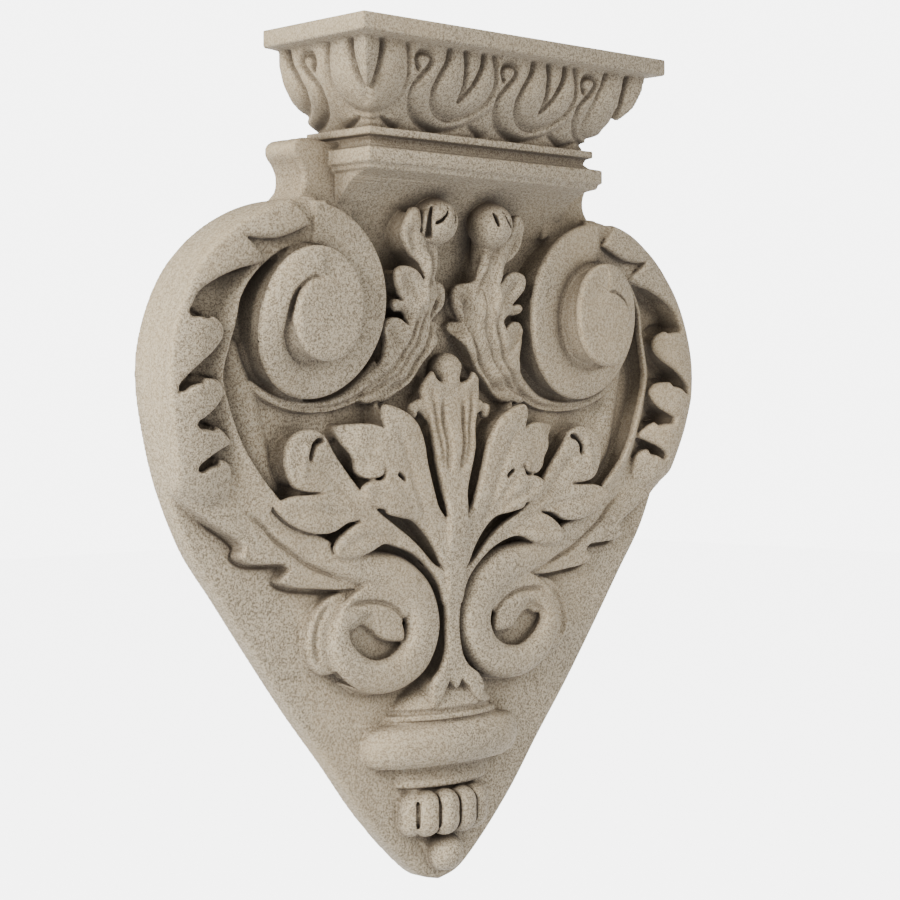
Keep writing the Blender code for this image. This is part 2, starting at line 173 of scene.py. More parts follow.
def fromPlaces(places, where):
    # height worked out from a few known heights, nearer ones counting more
    px, pz = gridX[where], gridZ[where]
    total, weights = 0, 0
    for x, z, known in places:
        apart = (px - x) ** 2 + (pz - z) ** 2
        weight = 1 / (apart + carving["placeSoftness"]) ** carving["placePower"]
        total = total + weight * known
        weights = weights + weight
    return total / weights


def faded(place, first, last):
    # 1 along a path, coming in over its first part and going out over its last
    return np.minimum(fade(place, 0, first), 1 - fade(place, last, 1))


def rounded(top, depth, rounding):
    # a surface that is rounded over at its edge and drops steeply beyond it
    shoulder = np.clip(depth / rounding, 0, 1)
    form = top - rounding * (1 - np.sqrt(1 - (1 - shoulder) ** 2))
    return np.where(depth < 0, top - rounding + depth * carving["wallSlope"], form)


height = np.full(gridX.shape, carving["ground"])


def raiseForm(outline, top, rounding=2.2):
    # a carved form with a rounded edge and a steep wall; top is a height, known heights or a function
    points = curve(outline)
    where = window(points, carving["margin"])
    depth = inside(points, gridX[where], gridZ[where])
    if callable(top):
        top = top(where)
    elif not np.isscalar(top):
        top = fromPlaces(top, where)
    height[where] = softMax(height[where], rounded(top, depth, rounding), carving["foot"])


def raiseRoll(path, power=2.0, foot=1.2):
    # a rolled or flattened band along a path of (across, level, half width, height)
    points = curve([p[:2] for p in path], closed=False)
    ends = np.array([[p[2], p[3]] for p in path], float)
    where = window(points, ends[:, 0].max() + carving["margin"])
    distance, place = along(points, gridX[where], gridZ[where])
    lengths = np.cumsum([0] + [math.dist(a[:2], b[:2]) for a, b in zip(path, path[1:])])
    knots = lengths / lengths[-1]
    half = np.interp(place, knots, ends[:, 0])
    top = np.interp(place, knots, ends[:, 1])
    share = distance / half
    drop = half * (1 - np.sqrt(np.maximum(1 - np.clip(share, 0, 1) ** power, 0)))
    form = np.where(share > 1, top - half - (distance - half) * carving["wallSlope"], top - drop)
    height[where] = softMax(height[where], form, foot)


def cut(path, width, depth, floor=8.0):
    # a groove along a path, fading out at its ends
    points = curve(path, closed=False)
    where = window(points, width * 3)
    distance, place = along(points, gridX[where], gridZ[where])
    height[where] -= depth * faded(place, 0.25, 0.8) * np.exp(-(distance / width) ** 2)
    height[where] = np.maximum(height[where], floor)


def swell(path, width, rise):
    # a soft ridge along a path
    points = curve(path, closed=False)
    where = window(points, width * 3)
    distance, place = along(points, gridX[where], gridZ[where])
    height[where] += rise * faded(place, 0.2, 0.85) * np.exp(-(distance / width) ** 2)


# heart-shaped plate
plate = {
    "edge": 1.6,
    "sideLines": ((20.5, 1.0, 0.7), (15.5, 1.2, 0.5), (9.5, 1.3, 0.4)),  # (place out, width, depth)
    "sideLevels": (-215, -180),  # levels over which these lines fade in
    "heart": (
        (0, -50, 1), (69, -50, 1), (70.5, -62), (72, -69), (80, -73.5), (96, -74), (116, -80),
        (136, -92), (151, -108), (161, -130), (164, -150), (158, -185), (151, -205),
        (141, -225), (126, -245), (106, -272), (86, -298), (66, -322), (46, -347), (22, -371),
        (11, -379), (0, -382, 1),
    ),
}
half = curve(plate["heart"], closed=False)
heart = np.concatenate([half, half[::-1] * (-1, 1)])
ear = {
    "outline": ((60, -48.5), (74, -48.2), (86, -47.2), (91.5, -48.2), (94.3, -51), (94, -54.5),
                (90.5, -59), (88.5, -64), (89, -68.5), (92.5, -73), (100, -77), (96, -88), (60, -88)),
    "block": ((60, -40, 1), (108, -40, 1), (108, -84, 1), (60, -84, 1)),
    "top": 19.5,
}
earEdge = curve(ear["outline"])
rim = np.maximum(inside(heart, gridX, gridZ), inside(earEdge, gridX, gridZ))
print("plate drawn")

raiseForm(ear["block"], ear["top"])

# leafy band round the shoulder, and the S scroll that runs out of it
band = {
    # pairs of level and height, upwards
    "rim": ((-212, 10), (-206, 12), (-200, 17), (-190, 20), (-175, 23), (-160, 25), (-100, 25), (-80, 26)),
    "floor": ((-242, 15.2), (-225, 16.2), (-205, 15.6), (-190, 13.8), (-110, 13.5), (-98, 18), (-90, 24)),
    "edge": ((-232, 17.5), (-215, 18), (-198, 20), (-190, 20.8), (-178, 20.2), (-160, 19.8), (-150, 20),
             (-138, 21), (-118, 22.5), (-95, 25)),
    "edgeWidth": 7,
    "overRim": 8,
    "crown": 2.6,
    "crownWidth": 11,
    "flap": 0.8,  # rise of the turned leaf by the volute
    "flapLevels": (-98, -86),
    "flapPlaces": (112, 128),
    "fall": (0.3, 14, 40),  # how the leaf falls inwards: slope, where from, how far
    "rise": (0.06, -100, 30),  # and rises upwards
    "body": (
        (84, -73, 1), (100, -73, 1), (120, -76, 1), (172, -110, 1), (172, -190, 1), (152, -200, 1),
        (140, -208.5), (129, -215), (121.5, -219), (118.5, -222, 1), (120.5, -226), (116, -229),
        (107, -230), (97, -230.7), (94, -233, 1), (98, -238), (91, -240.7), (80, -242), (66, -243.5),
        (50, -244.5, 1),
    ),
    "inner": (
        (50, -229, 1), (60, -226.5), (73, -221.5), (86, -214.5), (98, -206), (107, -198),
        (114.8, -190), (122.8, -178), (129.5, -162), (132.5, -150), (130, -138), (126.8, -127),
        (125, -117.5), (120, -109), (112, -101.5), (104, -97), (84, -94, 1),
    ),
    "leaf": (
        (100, -74, 1), (120, -76, 1), (172, -110, 1), (172, -190, 1), (151, -199), (140, -206.5),
        (131, -208), (127, -201), (127, -190), (129, -186.5), (135, -184.5), (141, -185.5),
        (147, -189, 1), (141, -183.7), (135, -181), (128.5, -178), (134, -173), (142, -170),
        (150, -170, 1), (146, -167.3), (139, -163), (134.5, -157), (136.5, -152.5), (143, -151),
        (152, -152), (160, -157, 1), (156, -150.5), (149, -145), (141, -140), (135, -133.5),
        (136.5, -128.5), (145, -125), (154, -124, 1), (150, -116.5), (142, -111), (130, -106),
        (114, -101.5), (118, -98), (125, -92.5, 1), (118, -92.6), (109, -92), (100, -89),
        (92.6, -85.6, 1), (96, -80.5), (100, -77),
    ),
}


def between(z, knots):
    # height at a level, from pairs of (level, height)
    return np.interp(z, [knot[0] for knot in knots], [knot[1] for knot in knots])


def rimHeight(z):
    return between(z, band["rim"])


def bodyTop(where):
    # hollow between its raised inner edge and the lobes
    z = gridZ[where]
    floor, edge = between(z, band["floor"]), between(z, band["edge"])
    distance = along(curve(band["inner"], closed=False), gridX[where], gridZ[where])[0]
    nearEdge = np.exp(-((distance / band["edgeWidth"]) ** 2))
    return np.minimum(floor + (edge - floor) * nearEdge, rimHeight(z) + band["overRim"])


def leafTop(where):
    z, d = gridZ[where], rim[where]
    crown = rimHeight(z) + band["crown"] * np.sin(np.clip(d / band["crownWidth"], 0, 1) * math.pi / 2)
    flap = fade(z, *band["flapLevels"]) * (1 - fade(gridX[where], *band["flapPlaces"]))
    fall, fallFrom, fallMost = band["fall"]
    rise, riseFrom, riseMost = band["rise"]
    inwards, upwards = np.clip(d - fallFrom, 0, fallMost), np.clip(z - riseFrom, 0, riseMost)
    return crown - fall * inwards + rise * upwards + band["flap"] * flap


raiseForm(band["body"] + band["inner"], bodyTop, rounding=1.4)
raiseForm(band["leaf"], leafTop, rounding=2.6)
scroll = {
    "field": ((122, -138, 5, 12.5), (115, -160, 10, 12.5), (108, -185, 12, 12.5), (100, -196, 8, 12)),
    "edge": ((126, -199), (118, -207), (109, -213.5), (103, -219.5), (93, -226), (82, -232.5),
             (66, -237.5), (54, -240.5), (44, -244.5)),
}
raiseRoll(scroll["field"], power=2.0, foot=2.0)
cut(scroll["edge"], 1.2, 2.2)
for notch in (((155, -124.3), (149, -124.2), (142, -125.5)), ((160, -156.5), (154, -152.4), (146, -151.4)),
              ((150.5, -170.2), (144, -170.3), (138, -171.5)), ((147.5, -189.5), (142, -186.4), (135, -185))):
    cut(notch, 1.5, 9, floor=12)
for foot in (((143, -207.5), (133, -213.5), (123.5, -219.5), (119.8, -223.5), (121.8, -226.6), (116, -230.4),
              (107, -231.4), (97, -232), (95.2, -234)),
             ((95.2, -234), (99.2, -238.5), (91, -242.2), (80, -243.5), (66, -245))):
    cut(foot, 0.9, 1.8, floor=7.4)
print("band and scroll raised")

# upper volute: one spiral edge, twice round the eye
volute = {
    "centre": (90, -118),
    "firstTurn": (42.8, 43.5, 41.6, 26.8, 23.5),  # outer radius at each quarter, from the top inwards
    "secondTurn": (23.5, 21.8, 25.6, 14.4, 9.5),
    "rim": (28.5, 26.5, 19.0, 28.0, 34.2),
    "foot": (26.5, 23.0, 22.5, 33.0, 35.0),
    "line": ((87, -109.6), (92.5, -108.2), (98, -109.8), (102.6, -113.3), (105.2, -118.5), (105.4, -125),
             (103, -132)),
    "eye": 36.0,
    "eyeDip": 1.6,  # how far the eye falls where the second turn starts
    "dipTurn": (0.1, 1.0),
    "dipRadius": (7.5, 12.5),
    "eyeCloses": (3.9, 3.4),  # quarter turns over which its edge loses the rounding
    "eyeRounding": 1.3,
    "eyeFoot": 0.7,
    "belly": 0.8,
    "rimRounding": 2.0,
    "size": 50,
    "start": ((82, -74.3, 1), (104, -76.5), (120, -84), (130, -93), (124, -97), (112, -100.5),
              (102, -97.5), (94, -95), (82, -94.5, 1)),
    "startHeights": ((84, -78, 27.8), (84, -92, 26.6), (100, -78, 26.4), (104, -84, 25.6), (104, -95, 22.5),
                     (122, -90, 24)),
}


def aroundTurn(values, turn):
    # values at quarter turns, joined by a smooth curve
    knots = np.arange(len(values))
    points = np.array(values, float)
    slope = np.gradient(points)
    i = np.clip(turn.astype(int), 0, len(values) - 2)
    t = turn - i
    return ((2 * t**3 - 3 * t**2 + 1) * points[i] + (t**3 - 2 * t**2 + t) * slope[i]
            + (3 * t**2 - 2 * t**3) * points[i + 1] + (t**3 - t**2) * slope[i + 1])


def raiseVolute():
    cx, cz = volute["centre"]
    where = window(np.array([[cx, cz]]), volute["size"])
    dx, dz = gridX[where] - cx, gridZ[where] - cz
    radius = np.hypot(dx, dz)
    turn = (np.arctan2(-dx, dz) % (2 * math.pi)) / (math.pi / 2)
    outer = aroundTurn(volute["firstTurn"], turn)
    inner = aroundTurn(volute["secondTurn"], turn)
    share = np.clip((radius - inner) / (outer - inner), 0, 1)
    surface = aroundTurn(volute["foot"], turn) * (1 - share) + aroundTurn(volute["rim"], turn) * share
    form = rounded(surface + volute["belly"] * np.sin(share * math.pi), outer - radius, volute["rimRounding"])
    early = 1 - fade(turn, *volute["dipTurn"])
    rise = volute["eye"] - volute["eyeDip"] * early * fade(radius, *volute["dipRadius"])
    step = inner - radius
    rounding = volute["eyeRounding"]
    shoulder = np.clip(step / rounding, 0, 1)
    disc = rise - rounding * (1 - np.sqrt(1 - (1 - shoulder) ** 2)) * fade(turn, *volute["eyeCloses"])
    disc = np.where(step < 0, rise - rounding + step * carving["wallSlope"], disc)
    form = softMax(form, disc, volute["eyeFoot"])
    height[where] = softMax(height[where], form, carving["foot"])


raiseForm(volute["start"], volute["startHeights"], rounding=1.5)
raiseVolute()
cut(volute["line"], 1.0, 2.0)
print("volutes raised")

# ribbon under the volute, and the spray that it grows into
spray = {
    "ribbon": ((113, -153, 1.4, 13), (107, -157, 2.2, 13.8), (92, -162, 2.6, 13.5),
               (78, -163, 2.8, 13.5), (62, -160.5, 3.4, 14), (49, -153.5, 5, 16), (40, -146, 7, 19)),
    "outline": (
        (52, -160), (49, -151), (43.5, -141), (43.5, -132), (44.3, -127), (42, -124),
        (36, -123.5), (30.2, -127, 1), (33, -121.3), (39, -120.2), (41.8, -117.6), (40, -115.2),
        (34.5, -115.9, 1), (38.5, -112), (41.2, -107), (40.7, -102.2), (35, -100.3), (29, -101.8),
        (23.8, -106.6, 1), (27, -99), (33, -94), (37.8, -87), (37.5, -80), (34, -74.5),
        (30.5, -74.8), (28.5, -80), (27.8, -85, 1), (24, -86), (16, -89.5), (13.5, -98), (12.5, -105.5),
        (9, -106.2), (4, -107.5), (2.2, -111), (3, -116.5), (6, -121), (9.5, -124, 1),
        (4.5, -123.8), (2.4, -126), (6, -131), (13, -139), (20, -148), (29, -156), (40, -162),
    ),
    "heights": (
        (33, -78, 30.5), (37, -88, 27.5), (24, -100, 28), (40, -105, 27), (40, -117.5, 24.5),
        (24, -115, 27.5), (43, -127, 22), (30, -130, 24), (6, -112, 17), (11, -112, 22),
        (4, -126, 12.5), (14, -132, 20), (20, -146, 17), (35, -145, 21), (50, -156, 15), (34, -158, 14),
    ),
}
raiseRoll(spray["ribbon"], power=3)
raiseForm(spray["outline"], spray["heights"], rounding=1.8)
for groove in (
    ((60, -160), (46, -156), (35, -149.5), (26.5, -139), (21, -127), (18.8, -112), (19.5, -95)),
    ((100, -160.7), (78, -164), (60, -161.5), (46, -153.5), (35, -143.5), (28.5, -133), (25, -120),
     (24.5, -108)),
    ((40, -158), (29, -152.5), (20.5, -143), (14, -131), (11, -120), (10.5, -110)),
):
    cut(groove, 1.25, 2.3)
swell(((33, -132), (27, -122), (22.5, -108), (22.5, -92)), 2.0, 1.2)
cut(((23.5, -84), (20.5, -92), (18, -102), (15.5, -113)), 1.8, 2.4)
cut(((11.5, -105), (9.6, -112), (9.2, -121)), 1.2, 2.0)
for lobe in (((24, -118), (31, -110), (38, -104.5)), ((25, -104), (30, -94), (34, -82)),
             ((27, -126), (34, -121), (40, -118)), ((34, -138), (39, -132), (42, -127)),
             ((15, -124), (10, -116), (6, -110))):
    cut(lobe, 1.9, 1.9)


# parts that stand free of the ground: bars through places of (across, out, level, radius)
curl = {
    "ball": ((17.5, 26, -79.8, 10.6),),
    "neck": ((20, 15, -108, 4.5), (19.5, 18, -95, 5.0), (18.5, 22, -86, 6.6)),
    "gap": ((24.6, 31.5, -73.5, 0.8), (26.2, 32, -78, 1.0), (26, 31.2, -83, 1.3), (24.6, 29, -87.6, 1.7)),
    "slit": ((23.8, 34.2, -81.5, 0.9), (21.5, 35.4, -80.2, 0.9), (19.2, 36.3, -77.6, 0.8),
             (17.6, 36.2, -73.6, 0.6)),
    "fold": ((12.4, 33.5, -74.4, 0.7), (12.9, 35.2, -77.4, 1.1), (13.9, 35.7, -80.7, 0.8)),
}
print("sprays raised")

# palmette
palmette = {
    "lower": (
        (2, -240), (7.3, -236.7, 1), (12, -234.5), (20.5, -227), (29, -220.5), (38, -215), (46, -210),
        (56, -201), (66, -190), (73, -182), (78, -175.5), (84, -172.8), (91, -173.3), (97, -177),
        (99.8, -183), (99, -191), (95, -197.5), (89, -199.7), (80, -200.4, 1), (88, -200.8),
        (98, -201.8), (105.5, -205.5), (101, -210.5), (93, -215.2), (83, -218), (73, -217.5),
        (65, -214), (57.9, -213.4, 1), (64.5, -216.5), (70.5, -221), (72.5, -225.5), (69.5, -229),
        (62, -229.6), (53, -227.8), (43, -224.2), (33, -226.2), (24, -230), (15.5, -236.5),
        (9, -244), (5, -254),
    ),
    "lowerHeights": ((90, -180, 21), (97, -190, 21), (100, -206, 21.5), (85, -212, 22.5), (68, -226, 21.5),
                     (60, -220, 22), (72, -195, 20), (50, -215, 21.5), (30, -223, 20.5), (10, -239, 20)),
    "side": (
        (2, -212), (6.4, -213.2, 1), (11, -208), (14.3, -200), (17.5, -190), (21, -178), (26.5, -169.5),
        (35, -164.3), (45, -162.3), (46, -167), (44.6, -172.4, 1), (51, -170.7), (60, -170.5),
        (68.5, -172.3), (66, -179), (60.5, -187), (59.5, -191.5), (56, -194.3), (50, -195),
        (46, -193.8), (44, -190.8, 1), (45.5, -195.2), (52, -195.6), (57.8, -199), (56.5, -203.5),
        (50, -207.5), (44.5, -208.6, 1), (43, -210.6), (35, -212.6), (26, -214.5), (18, -221),
        (12.5, -228), (7.3, -236.7), (2, -240),
    ),
    "sideHeights": ((45, -165, 23.5), (35, -172, 24.5), (55, -178, 22), (67, -174, 16.5), (58, -191, 20),
                    (55, -200, 23.5), (40, -204, 24), (24, -195, 22.5), (12, -222, 21.5), (45, -186, 23.5)),
    "ball": ((0, 13.5, -146.5, 8.2), (0, 15, -151, 6.0)),
    "stem": (
        (-8, -151.5, 1), (8, -151.5), (10.8, -150), (12.9, -146.8, 1), (16.2, -150), (18.3, -155),
        (17.6, -161), (15.4, -167), (14, -173), (13.4, -180), (11.2, -190), (8.3, -200), (6.2, -212),
        (6.2, -224), (6.2, -238), (4.8, -252), (4.2, -266), (5.2, -276), (9, -282.5), (14, -286.5),
        (16.6, -292), (15.6, -300.5, 1), (10.5, -297), (7, -291.5), (4, -288.5, 1), (0, -292.5),
        (-4, -288.5, 1),
    ),
    "stemHeights": ((0, -152, 19.5), (13, -149, 21), (17, -156, 18.5), (10, -165, 20.5), (0, -163, 20),
                    (0, -180, 23), (8, -195, 21.5), (0, -215, 24),
                    (0, -240, 22), (0, -262, 19.5), (0, -280, 20.5), (13, -292, 22.5)),
}
raiseForm(palmette["lower"], palmette["lowerHeights"], rounding=2.0)
raiseForm(palmette["side"], palmette["sideHeights"], rounding=2.0)
raiseForm(palmette["stem"], palmette["stemHeights"], rounding=1.8)
raiseRoll(((13, -170, 2, 18), (15.5, -165.5, 2.2, 18.5), (19, -162.7, 3.2, 19), (22, -163.5, 2.2, 17)))
raiseRoll(((23, -164, 2.7, 19), (23, -166, 2.7, 18.5)))
cut(((5.5, -156), (6.5, -165), (5.2, -178), (3.4, -195)), 1.5, 2.8)
cut(((12.5, -152), (11.6, -163), (9.5, -176), (6.6, -192)), 1.3, 2.2)
for vein in (((12, -225), (20, -212), (27, -196), (33, -182), (42, -167)),
             ((15, -222), (27, -208), (42, -192), (58, -178)),
             ((20, -217), (33, -208), (46, -203), (54, -200.5))):
    cut(vein, 1.7, 1.1)
for vein in (((14, -234), (30, -222.5), (48, -212.5), (64, -202), (78, -190), (90, -180)),
             ((20, -231.5), (38, -221.5), (60, -212), (80, -208.5), (98, -206.5)),
             ((28, -227), (42, -221.5), (56, -221), (68, -225.5))):
    cut(vein, 1.7, 1.1)
cut(((32, -196.5), (35, -194), (37.5, -192.5)), 0.8, 5, floor=16)
cut(((86, -188), (85.5, -182), (82, -178), (77, -177.5)), 1.1, 5)
swell(((90, -195), (91, -186), (87, -178)), 2.5, 1.2)
print("palmette raised")

# lower volutes
coil = {
    "path": ((76, -227.5, 6.5, 17.5), (62, -232, 8, 19), (47, -236, 9.7, 19.8),
             (32, -240.5, 11.2, 20.5), (20.5, -250, 11.8, 20.5), (16.5, -263.5, 11.3, 20.5),
             (22, -276, 10.6, 20.5), (34, -282.5, 8.6, 20.5), (48, -283, 7.8, 20.5), (60, -277, 7.6, 20),
             (66.5, -267, 6.6, 19), (64, -256.5, 4.6, 18), (55, -250.8, 2.8, 17), (46, -250.2, 1.5, 15)),
    "bed": ((26, -252), (36, -243), (52, -242), (68, -254), (66, -262), (54, -256), (40, -256), (30, -260)),
    "pit": ((26, -262), (30, -250), (48, -244), (64, -252), (66, -266), (58, -276), (42, -280), (30, -274)),
    "seam": ((67, -254), (60, -250.5), (48, -249.8), (37, -252.6), (29, -259), (26, -267)),
    "tongue": ((63, -262), (61, -256), (54, -252.3), (45, -251.2), (36.5, -252.8), (31, -258), (28.3, -264.5),
               (29, -268.5), (35, -268.7), (42, -267), (47, -262.8), (53, -260), (58, -262)),
    "backLeaf": ((56, -244.5), (66, -245), (74, -248.5), (80.5, -256), (83.5, -265), (81.5, -274), (76, -280),
                 (71.5, -280.5), (66, -280), (60, -262)),
}
raiseForm(coil["pit"], 12.0, rounding=1.0)
raiseForm(coil["bed"], 18.4, rounding=1.5)
raiseForm(coil["backLeaf"], 14.5, rounding=3)
cut(((68, -248), (76, -256), (79, -266), (76, -277)), 1.5, 2)
raiseRoll(coil["path"], power=3.2)
cut(coil["seam"], 1.1, 2.3)
raiseForm(coil["tongue"], ((60, -256, 16), (45, -255, 19), (33, -262, 18), (50, -260, 16)), rounding=3.0)
print("lower volutes raised")

# vase, gadroon and ball under the stem
vase = {
    "axis": 7,  # how far out the axis of the turned part lies
    "middle": 8,  # and that of the lobes
    "halfWidth": 56,
    "foot": 0.8,
    "body": ((-287, 12, 13), (-290, 19, 17), (-295, 27, 20.5), (-300, 31.8, 22.3), (-301.2, 31, 21),
             (-302.6, 31, 20.6), (-303.4, 34.5, 22.6), (-305.4, 35.2, 22.8), (-306.2, 35, 20.8),
             (-307.4, 42, 22.5), (-309, 46, 25), (-312.5, 48.6, 27), (-316.5, 49.3, 27.5),
             (-321, 48.6, 27), (-324.5, 46, 25), (-326.4, 42, 22),
             (-327, 31, 17.5), (-328.4, 29.6, 16.6), (-332, 28.5, 17.5), (-335, 29.5, 19), (-336.6, 28, 18.4),
             (-337.4, 22, 15)),
    "lobe": (20.8, 9.8, 7.2, -345.2, -352.0),  # place across, place out, radius, top and foot
    "lobes": 6,
    "core": ((-12, 8, -347, 9.5), (12, 8, -347, 9.5)),
    "collar": ((-18, 9, -340.5, 5.6), (18, 9, -340.5, 5.6)),
    # (share of the way out to where two lobes meet, level, radius)
    "groove": ((0.2, -339.4, 0.8), (0.92, -344, 1.1), (1.0, -348.6, 1.1), (0.92, -353, 1.1),
               (0.2, -358.2, 0.8)),
    "ball": ((0, 12.0, -368.3, 8.9),),
}


def raiseTurned(profile):
    z = np.array([p[0] for p in profile][::-1], float)
    where = (slice(0, int(vase["halfWidth"] / cell)), slice(*np.searchsorted(level, (z[0] - 1, z[-1] + 1))))
    px, pz = gridX[where], gridZ[where]
    half = np.interp(pz, z, [p[1] for p in profile][::-1])
    reach = np.interp(pz, z, [p[2] for p in profile][::-1])
    share = px / half
    form = vase["axis"] + (reach - vase["axis"]) * np.sqrt(np.maximum(1 - share**2, 0))
    form = np.where(share > 1, 0, form)
    form = np.where((pz < z[0]) | (pz > z[-1]), 0, form)
    height[where] = softMax(height[where], form, vase["foot"])


raiseTurned(vase["body"])
lobeAcross, lobeOut, lobeRadius, lobeTop, lobeFoot = vase["lobe"]
bars = [curl["ball"], curl["neck"], palmette["ball"], vase["core"], vase["collar"], vase["ball"]]
holes = []
turns = [math.pi * ((k + 0.5) / vase["lobes"] - 0.5) for k in range(vase["lobes"])]
lobes = [(lobeAcross * math.sin(turn), vase["middle"] + lobeOut * math.cos(turn)) for turn in turns]
for x, out in lobes:
    bars.append(((x, out, lobeTop, lobeRadius), (x, out, lobeFoot, lobeRadius)))
for (x1, out1), (x2, out2) in zip(lobes, lobes[1:]):
    # a groove down the line where two lobes meet
    apart = math.hypot(x2 - x1, out2 - out1)
    deep = math.sqrt(lobeRadius**2 - apart**2 / 4)
    awayX, awayY = (out1 - out2) / apart * deep, (x2 - x1) / apart * deep
    holes.append([((x1 + x2) / 2 + awayX * part, (out1 + out2) / 2 + awayY * part, z, wide)
                  for part, z, wide in vase["groove"]])
middle = np.array(curl["ball"][0][:3])
for name in ("gap", "slit", "fold"):
    for share in (1.0, 0.85, 0.7):  # each cut runs in towards the middle of the ball
        holes.append([(*(middle + (np.array(place[:3]) - middle) * share), place[3])
                      for place in curl[name]])
print("vase raised")

# cap: mouldings as (level, inset from the edge), and the leaves cut on the round part
cap = {
    "half": 95.0,
    "reach": 66.2,
    "slab": 8.2,  # inset of the round part under the top slab
    "profile": ((0.5, 0.6), (0, 0.5), (-0.5, 0.15), (-1.2, 0), (-6.4, 0), (-7.2, 0.3), (-7.8, 1.2),
                (-8.1, 7.4), (-9, 8.2), (-15, 9.2), (-22.5, 11.8), (-28.5, 15.8), (-32, 19.2),
                (-36.5, 24.0), (-39.5, 26.8), (-42.4, 28.4), (-42.8, 24.6), (-43.2, 24.2), (-46.0, 24.2),
                (-46.4, 24.8), (-46.8, 26.6), (-49, 27.4), (-51, 25.6), (-51.8, 22.2), (-52.4, 21.0),
                (-58.0, 21.0), (-58.5, 21.6), (-58.9, 22.6), (-60.6, 22.8), (-61.2, 23.6), (-61.6, 24.0),
                (-64, 24.2), (-66, 24.4)),
    "ornament": ((-43.0, -42.3), (-7.6, -8.8)),  # levels between which the leaves are cut
    "groundDepth": 1.3,
    "roundOver": (1.5, 4.5),  # depth and width of the rounding towards a line
    "fullCut": 2,  # a line at least this deep has all of that rounding
    "eggSpacing": 52,
    "sideEgg": (38.5, 0.85),  # place and scale of the one egg on a side
}


# lines cut round one egg and its crook, from the crook: (places, width, depth)
eggLines = (
    (((-2, -18), (-4.3, -14.5), (-3, -11.8), (0, -11), (3.3, -11.8), (4.6, -14.5), (3.4, -17.5), (0.5, -21),
      (-1.9, -24.6), (-1.2, -29), (3.3, -33.9), (9, -37.3), (16.7, -40.3), (25, -42.5)), 1.25, 2.7),
    (((14.3, -6), (13.9, -13.4), (11.2, -20), (10, -25.4), (12.7, -30.2), (18.4, -33.8), (26.4, -36),
      (31.3, -35.9)), 1.25, 2.7),
    (((31.3, -35.9), (38.5, -33.2), (43.8, -28.4), (45.2, -24), (45.3, -19.5), (43.5, -14.2),
      (40.5, -6)), 1.25, 2.2),
    (((23.3, -6), (25.8, -16), (27, -22.6), (27.6, -28.6, 1), (31.4, -23.4), (33.9, -17.7), (35.1, -12.5),
      (34.4, -6)), 1.2, 3.0),
    (((25, -42), (33, -40.2), (41.7, -37), (47.5, -33), (51, -28.5)), 1.0, 1.0),
    (((41.7, -37.4), (46, -39.3), (51.5, -42)), 0.9, 2.0),
)
# lines of a corner leaf, from the corner along either face
cornerLines = (
    (((9.6, -6), (9.8, -12), (8.4, -18), (5, -25.5), (-0.4, -32.5)), 1.3, 3.2),
    (((24, -6), (25, -16), (23.8, -24), (18.5, -30.8), (10.3, -35.4), (-1, -37.8)), 1.1, 1.9),
    (((26.5, -22), (23, -29), (13.5, -35.8), (6, -38.6), (-1, -40)), 0.9, 0.9),
    (((7.5, -38.4), (11, -40.6), (15, -42.2)), 0.9, 2.0),
)


def cutLines(px, pz, lines):
    # sharp grooves, with the stone between them rounded over towards each
    deepest = np.zeros(px.shape)
    nearest = np.full(px.shape, 1e9)
    for places, width, depth in lines:
        distance = along(curve(places, closed=False, step=1.0), px, pz)[0]
        deepest = np.maximum(deepest, depth * np.exp(-((distance / width) ** 2)))
        shallow = 1 - min(depth / cap["fullCut"], 1)
        nearest = np.minimum(nearest, distance + cap["fullCut"] * shallow)
    fall, wide = cap["roundOver"]
    return cap["groundDepth"] - fall * np.exp(-((nearest / wide) ** 2)) - deepest


def shifted(lines, by, scale=1.0):
    return [(tuple((x * scale + by, *rest) for x, *rest in places), width, depth)
            for places, width, depth in lines]


neck = {"top": -61.4, "foot": -114, "side": 24.4, "reach": 42.4, "overlap": 3}
capStart = np.searchsorted(level, neck["foot"])
capZ = level[capStart:]
profileZ = np.array([p[0] for p in cap["profile"]][::-1])
insets = np.interp(capZ, profileZ, [p[1] for p in cap["profile"]][::-1])
sideInsets = np.where(capZ < neck["top"], neck["side"], insets)
share = np.clip((capZ - neck["foot"]) / (neck["top"] - neck["foot"]), 0, 1)
bell = carving["ground"] + (neck["reach"] - carving["ground"]) * (1 - np.sqrt(1 - share**2))
frontInsets = np.where(capZ < neck["top"], cap["reach"] - bell, insets)
ornament = fade(capZ, *cap["ornament"][0]) * fade(capZ, *cap["ornament"][1])


def faceRelief(places, crooks, corner, cornerInsets):
    # relief of one face of the cap; corner gives the distance from its corners
    px, pz = np.meshgrid(places, capZ, indexing="ij")
    fromCorner = corner(px) - cornerInsets[None, :]
    lines = [line for crook in crooks for line in crook]
    depth = np.minimum(cutLines(px, pz, lines), cutLines(fromCorner, pz, cornerLines))
    return depth * ornament[None, :]


fullX = np.concatenate([-across[::-1], across])
reachY = (np.arange(int(carving["reach"] / cell)) - carving["behind"]) * cell
crooks = [shifted(eggLines, place) for place in (-cap["eggSpacing"], 0)]
crooks.append(shifted(eggLines[:1], cap["eggSpacing"]))
frontPattern = faceRelief(fullX, crooks, lambda x: cap["half"] - abs(x), insets)
fromEdge = cap["reach"] - cap["slab"] - reachY
sideCrook = [shifted(eggLines, *cap["sideEgg"])]
sidePattern = faceRelief(fromEdge, sideCrook, lambda t: t + cap["slab"], insets)
print("cap drawn")


def undercut(field, reach):
    # the same heights with every raised form drawn in by a distance
    lower = field.copy()
    steps = int(reach / cell) + 1
    for i in range(-steps, steps + 1):
        for j in range(-steps, steps + 1):
            if math.hypot(i, j) * cell <= reach:
                moved = np.roll(np.roll(field, i, 0), j, 1)
                lower = np.minimum(lower, moved)
    return lower


